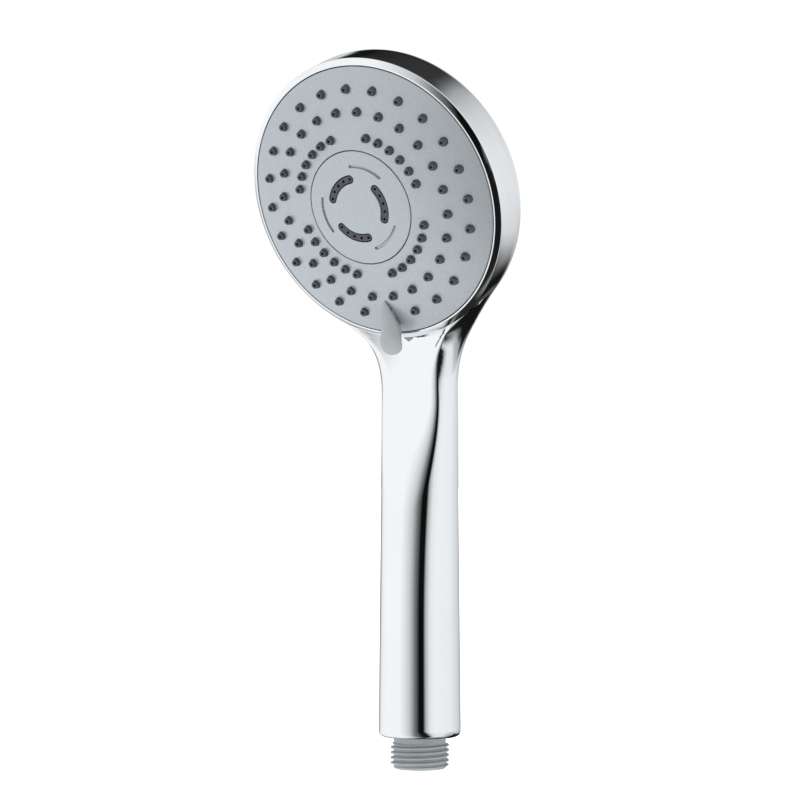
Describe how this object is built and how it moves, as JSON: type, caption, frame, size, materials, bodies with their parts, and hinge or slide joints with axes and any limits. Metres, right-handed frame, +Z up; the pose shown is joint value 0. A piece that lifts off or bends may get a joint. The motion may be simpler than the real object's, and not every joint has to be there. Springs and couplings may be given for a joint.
{
  "type": "handheld shower head",
  "caption": "Handheld shower head with a straight round handle, a round tilted spray face with rubber nozzles, a thumb lever that turns the face to change spray, and a threaded hose inlet.",
  "frame": {"origin": "centre of the inlet thread's end face, at the bottom of the handle", "axes": "+Z up the handle to the head, -Y the way the spray face looks (tilted 19.9 degrees down), +X to the right of someone behind the head"},
  "size_m": [0.102, 0.0629, 0.254],
  "materials": {
    "chrome": "polished",
    "grey_plate": "satin",
    "grey_plastic": "satin",
    "dark_rubber": "matte",
    "seal_rubber": "matte",
    "white_plastic": "satin",
    "steel": "satin",
    "brass": "satin"
  },
  "bodies": {
    "body": {"chrome_shell": "chrome", "inlet_connector": "grey_plastic", "inlet_strainer": "white_plastic", "flow_restrictor": "white_plastic", "water_tube": "white_plastic", "tube_seal_lower": "seal_rubber", "tube_seal_upper": "seal_rubber", "bezel_ring": "chrome", "valve_base": "white_plastic", "post_insert": "brass", "post_seal": "seal_rubber", "screw_washer": "steel", "port_spring": "steel", "detent_spring": "steel", "centre_screw": "steel", "base_screw_1": "steel", "base_screw_2": "steel", "base_screw_3": "steel"},
    "selector": {"face_plate": "grey_plate", "selector_lever": "grey_plastic", "nozzle_mat": "dark_rubber", "spray_chamber": "white_plastic", "chamber_gasket": "seal_rubber", "distributor_disc": "white_plastic", "centre_disc": "grey_plate", "massage_pad": "dark_rubber"},
    "turbine": {"turbine": "white_plastic"},
    "port_seal": {"port_seal": "seal_rubber"},
    "detent": {"detent_plunger": "white_plastic"}
  },
  "joints": [
    {"name": "selector_turn", "type": "hinge", "parent": "body", "child": "selector", "pos_m": [0, -0.0324, 0.2], "axis": [0, -0.9403, -0.3404], "range_deg": [-35, 35]},
    {"name": "turbine_spin", "type": "hinge", "parent": "selector", "child": "turbine", "pos_m": [0, -0.0324, 0.2], "axis": [0, -0.9403, -0.3404], "continuous": true},
    {"name": "port_seal_press", "type": "slide", "parent": "body", "child": "port_seal", "axis": [0, -0.9403, -0.3404], "range_m": [-0.0005, 0], "stiffness_N_per_m": 1000, "springref_m": 0.002},
    {"name": "detent_press", "type": "slide", "parent": "body", "child": "detent", "axis": [0, -0.9403, -0.3404], "range_m": [-0.0006, 0], "stiffness_N_per_m": 800, "springref_m": 0.002}
  ]
}
